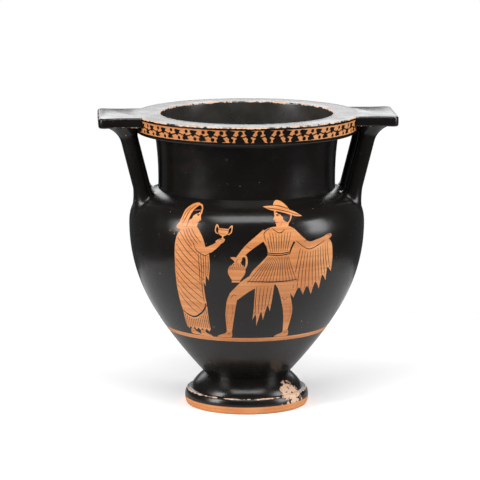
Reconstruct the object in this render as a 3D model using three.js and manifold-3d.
// A red-figure column krater: a wide-mouthed fired clay bowl for mixing wine with water.
// The bowl is thrown on a wheel, so its body, neck, lip and foot are turned from one profile.
// Each of its two handles is a pair of columns that rise from the shoulder to a flat plate on the lip.
// Everything is luted together before firing, so the vase is one hollow solid, open at the mouth.
// Millimetres, +Z up, origin at the centre of the foot's resting plane, handles along X.

import * as THREE from 'three';
import { mergeVertices } from 'three/addons/utils/BufferGeometryUtils.js';
import Module from 'manifold-3d';

// Foot
const FOOT_RADIUS = 81;
const FOOT_EDGE_HEIGHT = 20;
const FOOT_EDGE_BULGE = 3;
const FOOT_STEP = 5;
const RESTING_RING_WIDTH = 13;
const FOOT_HOLLOW_HEIGHT = 41;
const FOOT_HOLLOW_TOP_RADIUS = 22;
const FOOT_HOLLOW_ROUNDING = 6;

// Stem and body
const STEM_HEIGHT = 42;
const STEM_RADIUS = 56;
const STEM_ROUNDING = 2;
const BODY_RISE = 199;
const BELLY_RADIUS = 153;
const WALL = 7.5;
const FLOOR_THICKNESS = 14;

// Shoulder, neck and lip
const SHOULDER_RISE = 45;
const NECK_RADIUS = 115;
const NECK_HEIGHT = 73;
const NECK_FLARE = 4;
const LIP_FACE_HEIGHT = 24;
const LIP_OVERHANG = 27;
const LIP_FACE_LEAN = 3;
const LIP_UNDERCUT = 3;
const LIP_EDGE_ROUNDING = 2;

// Handles
const COLUMN_RADIUS = 11.3;
const COLUMN_SPACING = 62;
const COLUMN_NECK_GAP = 7.2;
const COLUMN_BASE_FLARE = 4;
const COLUMN_TOP_FLARE = 7;
const COLUMN_TOP_RISE = 21;
const BRACKET_SHARE = 1.3;
const PLATE_OVERHANG = 46.5;
const PLATE_WIDTH = 108;
const PLATE_THICKNESS = 13;
const PLATE_WAIST = 4;
const PLATE_CORNER = 9;
const PLATE_BEVEL = 2.5;
const PLATE_END_TO_COLUMN = 35.5;

// Shares and angles that shape the free curves of the body
const BODY_ANGLE = 41.5 * Math.PI / 180;
const BODY_LOWER_PULL = 0.43;
const BODY_UPPER_PULL = 0.4;
const SHOULDER_LOWER_PULL = 0.69;
const SHOULDER_UPPER_PULL = 0.55;
const SHOULDER_ANGLE = 20 * Math.PI / 180;
const FLOOR_JOIN = 0.14;

// Smoothness
const TURNS = 56;
const COLUMN_SIDES = 18;
const BODY_STEPS = 11;
const SHOULDER_STEPS = 6;

const BELLY_HEIGHT = STEM_HEIGHT + BODY_RISE;
const NECK_BASE_HEIGHT = BELLY_HEIGHT + SHOULDER_RISE;
const LIP_BASE_HEIGHT = NECK_BASE_HEIGHT + NECK_HEIGHT;
const LIP_TOP_HEIGHT = LIP_BASE_HEIGHT + LIP_FACE_HEIGHT;
const NECK_TOP_RADIUS = NECK_RADIUS + NECK_FLARE;
const LIP_RADIUS = NECK_TOP_RADIUS + LIP_OVERHANG;
const PLATE_REACH = LIP_RADIUS + PLATE_OVERHANG;
const PLATE_BASE_HEIGHT = LIP_TOP_HEIGHT - PLATE_THICKNESS;
const COLUMN_FOOT_RADIUS = NECK_RADIUS + COLUMN_NECK_GAP + COLUMN_RADIUS;
const COLUMN_TOP_RADIUS = PLATE_REACH - PLATE_END_TO_COLUMN;
const CUT_OVERRUN = 10;
const CLAY = new THREE.MeshStandardMaterial({ color: 0x171412, roughness: 0.22, metalness: 0 });

const point = (radius, height) => new THREE.Vector2(radius, height);

function curve(start, first, second, end, steps) {
  return new THREE.CubicBezierCurve(start, first, second, end).getPoints(steps);
}

function bend(start, corner, end, steps) {
  return new THREE.QuadraticBezierCurve(start, corner, end).getPoints(steps);
}

// The outside of the lower body, from the stem to the widest turn
function bodyCurve() {
  const stem = point(STEM_RADIUS, STEM_HEIGHT);
  const lower = stem.clone().add(
    point(Math.sin(BODY_ANGLE), Math.cos(BODY_ANGLE)).multiplyScalar(BODY_LOWER_PULL * BODY_RISE));
  const upper = point(BELLY_RADIUS, BELLY_HEIGHT - BODY_UPPER_PULL * BODY_RISE);
  return curve(stem, lower, upper, point(BELLY_RADIUS, BELLY_HEIGHT), BODY_STEPS);
}

// The outside of the shoulder, from the widest turn to the foot of the neck
function shoulderCurve() {
  const pull = SHOULDER_UPPER_PULL * (BELLY_RADIUS - NECK_RADIUS);
  const lower = point(BELLY_RADIUS, BELLY_HEIGHT + SHOULDER_LOWER_PULL * SHOULDER_RISE);
  const end = point(NECK_RADIUS, NECK_BASE_HEIGHT);
  const upper = end.clone().add(
    point(Math.cos(SHOULDER_ANGLE), -Math.sin(SHOULDER_ANGLE)).multiplyScalar(pull));
  return curve(point(BELLY_RADIUS, BELLY_HEIGHT), lower, upper, end, SHOULDER_STEPS);
}

// The same curve moved inwards by the wall's thickness
function inside(points, wall) {
  return points.map((here, i) => {
    const before = points[Math.max(i - 1, 0)];
    const after = points[Math.min(i + 1, points.length - 1)];
    const along = after.clone().sub(before).normalize();
    return here.clone().add(point(-along.y, along.x).multiplyScalar(wall));
  });
}

function footCurve() {
  const edge = FOOT_RADIUS - FOOT_EDGE_BULGE;
  const ledge = edge - FOOT_STEP;
  return [
    ...curve(
      point(edge, 0), point(FOOT_RADIUS + 1, 0.2 * FOOT_EDGE_HEIGHT),
      point(FOOT_RADIUS + 1, 0.8 * FOOT_EDGE_HEIGHT), point(edge, FOOT_EDGE_HEIGHT), 5),
    ...bend(
      point(ledge, FOOT_EDGE_HEIGHT + 1), point(ledge - 2, FOOT_EDGE_HEIGHT + 9),
      point(STEM_RADIUS + STEM_ROUNDING, STEM_HEIGHT - STEM_ROUNDING), 4),
  ];
}

function lipCurve() {
  const base = LIP_RADIUS - LIP_FACE_LEAN;
  const neckMiddle = 0.5 * (NECK_BASE_HEIGHT + LIP_BASE_HEIGHT);
  return [
    ...bend(
      point(NECK_RADIUS, NECK_BASE_HEIGHT + 1), point(NECK_RADIUS - 1, neckMiddle),
      point(NECK_TOP_RADIUS, LIP_BASE_HEIGHT - LIP_UNDERCUT), 4),
    point(NECK_TOP_RADIUS + LIP_UNDERCUT, LIP_BASE_HEIGHT),
    point(base - LIP_EDGE_ROUNDING, LIP_BASE_HEIGHT),
    point(base, LIP_BASE_HEIGHT + LIP_EDGE_ROUNDING),
    point(LIP_RADIUS, LIP_TOP_HEIGHT - LIP_EDGE_ROUNDING),
    point(LIP_RADIUS - LIP_EDGE_ROUNDING, LIP_TOP_HEIGHT),
  ];
}

// The hollow of the bowl: its floor, the inside of the wall and the mouth
function hollowCurve() {
  const wall = inside([...bodyCurve(), ...shoulderCurve().slice(1)], WALL);
  const floorHeight = FOOT_HOLLOW_HEIGHT + FLOOR_THICKNESS;
  const first = Math.round(FLOOR_JOIN * BODY_STEPS) + 1;
  const along = wall[first + 1].clone().sub(wall[first]);
  const cornerRadius = wall[first].x - (wall[first].y - floorHeight) * along.x / along.y;
  const mouth = NECK_TOP_RADIUS - WALL;
  return [
    ...bend(point(0, floorHeight), point(cornerRadius, floorHeight), wall[first], 3),
    ...wall.slice(first + 1, -1),
    point(NECK_RADIUS - WALL, NECK_BASE_HEIGHT),
    point(mouth, LIP_BASE_HEIGHT),
    point(mouth, LIP_TOP_HEIGHT - LIP_EDGE_ROUNDING),
    point(mouth + LIP_EDGE_ROUNDING, LIP_TOP_HEIGHT),
    point(mouth + LIP_EDGE_ROUNDING, LIP_TOP_HEIGHT + CUT_OVERRUN),
    point(0, LIP_TOP_HEIGHT + CUT_OVERRUN),
  ];
}

// A turned solid, with the profile's height along +Z
function turned(profile, sides = TURNS) {
  return new THREE.LatheGeometry(profile, sides).rotateX(Math.PI / 2);
}

// The underside of the foot is hollowed to a cone, so the vase rests on a ring
function footHollow() {
  const mouth = FOOT_RADIUS - FOOT_EDGE_BULGE - RESTING_RING_WIDTH;
  return turned([
    point(0, -CUT_OVERRUN),
    point(mouth, -CUT_OVERRUN),
    point(mouth, 0),
    ...bend(
      point(FOOT_HOLLOW_TOP_RADIUS + FOOT_HOLLOW_ROUNDING, FOOT_HOLLOW_HEIGHT - FOOT_HOLLOW_ROUNDING),
      point(FOOT_HOLLOW_TOP_RADIUS, FOOT_HOLLOW_HEIGHT), point(0, FOOT_HOLLOW_HEIGHT), 3),
  ]);
}

// Height of the shoulder's surface at a radius
function shoulderHeight(radius) {
  const points = shoulderCurve();
  const next = points.findIndex((here) => here.x <= radius);
  if (next < 1) {
    return next < 0 ? NECK_BASE_HEIGHT : BELLY_HEIGHT;
  }
  const [lower, upper] = [points[next - 1], points[next]];
  const share = (lower.x - radius) / (lower.x - upper.x);
  return THREE.MathUtils.lerp(lower.y, upper.y, share);
}

// A leaning column that starts inside the shoulder and ends inside the plate.
// Its base spreads along the shoulder's surface and its top spreads outwards into a bracket.
function column(side, place) {
  const height = shoulderHeight(Math.hypot(COLUMN_FOOT_RADIUS, 0.5 * COLUMN_SPACING));
  const spread = COLUMN_BASE_FLARE;
  const top = PLATE_BASE_HEIGHT + 0.5 * PLATE_THICKNESS;
  const middle = 0.5 * (height + top);
  const lean = (COLUMN_TOP_RADIUS - COLUMN_FOOT_RADIUS) / (PLATE_BASE_HEIGHT - height);
  const bracketBase = PLATE_BASE_HEIGHT - COLUMN_TOP_RISE;
  const shaft = COLUMN_RADIUS;
  const geometry = turned([
    point(0, height - 1.5 * spread),
    point(shaft + spread, height - 1.5 * spread),
    ...bend(
      point(shaft + spread, height), point(shaft, height + 0.3 * spread),
      point(shaft, height + 3 * spread), 4),
    ...bend(
      point(shaft, bracketBase), point(shaft, bracketBase + 0.7 * COLUMN_TOP_RISE),
      point(shaft + COLUMN_TOP_FLARE, PLATE_BASE_HEIGHT), 5),
    point(shaft + COLUMN_TOP_FLARE, top),
    point(0, top),
  ], COLUMN_SIDES);
  const places = geometry.getAttribute('position');
  for (let i = 0; i < places.count; i += 1) {
    const [x, y, z] = [places.getX(i), places.getY(i), places.getZ(i)];
    const ring = Math.max(Math.hypot(x, y), shaft);
    const outwards = z > middle && x * side > 0;
    const bracket = outwards ? 1 + BRACKET_SHARE * (ring - shaft) / ring : 1;
    const across = y + place * 0.5 * COLUMN_SPACING;
    const surface = shoulderHeight(Math.hypot(COLUMN_FOOT_RADIUS + x * side, across));
    const settled = THREE.MathUtils.clamp((height + 3 * spread - z) / (3 * spread), 0, 1);
    places.setX(i, x * bracket + side * (COLUMN_FOOT_RADIUS + lean * (z - height)));
    places.setY(i, across);
    places.setZ(i, z + settled * (surface - height));
  }
  return geometry;
}

// A flat plate on top of the columns, flush with the lip, with slightly waisted sides
function plate(side) {
  const root = side * (NECK_TOP_RADIUS + PLATE_BEVEL);
  const end = side * (PLATE_REACH - PLATE_BEVEL);
  const waist = side * 0.5 * (LIP_RADIUS + PLATE_REACH);
  const half = 0.5 * PLATE_WIDTH - PLATE_BEVEL;
  const corner = PLATE_CORNER;
  const outline = new THREE.Shape();
  outline.moveTo(root, -half);
  outline.quadraticCurveTo(waist, -half + 2 * PLATE_WAIST, end - side * corner, -half);
  outline.quadraticCurveTo(end, -half, end, -half + corner);
  outline.lineTo(end, half - corner);
  outline.quadraticCurveTo(end, half, end - side * corner, half);
  outline.quadraticCurveTo(waist, half - 2 * PLATE_WAIST, root, half);
  const slab = new THREE.ExtrudeGeometry(outline, {
    depth: PLATE_THICKNESS - 2 * PLATE_BEVEL,
    bevelThickness: PLATE_BEVEL,
    bevelSize: PLATE_BEVEL,
    bevelSegments: 1,
    curveSegments: 6,
  });
  return slab.translate(0, 0, PLATE_BASE_HEIGHT + PLATE_BEVEL);
}

const wasm = await Module();
wasm.setup();

function solid(geometry) {
  const bare = geometry.index ? geometry.toNonIndexed() : geometry.clone();
  bare.deleteAttribute('normal');
  bare.deleteAttribute('uv');
  const merged = mergeVertices(bare, 1e-3);
  return new wasm.Manifold(new wasm.Mesh({
    numProp: 3,
    vertProperties: merged.getAttribute('position').array,
    triVerts: new Uint32Array(merged.index.array),
  }));
}

function geometryOf(made) {
  const mesh = made.getMesh();
  const geometry = new THREE.BufferGeometry();
  geometry.setAttribute('position', new THREE.BufferAttribute(mesh.vertProperties, mesh.numProp));
  geometry.setIndex(new THREE.BufferAttribute(mesh.triVerts, 1));
  geometry.computeVertexNormals();
  return geometry;
}

function vase() {
  const outside = turned([
    point(0, 0),
    ...footCurve(),
    ...bodyCurve(),
    ...shoulderCurve().slice(1),
    ...lipCurve(),
    point(0, LIP_TOP_HEIGHT),
  ]);
  let made = solid(outside);
  for (const side of [-1, 1]) {
    made = made.add(solid(plate(side)));
    for (const place of [-1, 1]) {
      made = made.add(solid(column(side, place)));
    }
  }
  return made.subtract(solid(turned(hollowCurve()))).subtract(solid(footHollow()));
}

const krater = new THREE.Mesh(geometryOf(vase()), CLAY);
krater.name = 'krater';

const part = new THREE.Group();
part.add(krater);

export default part;
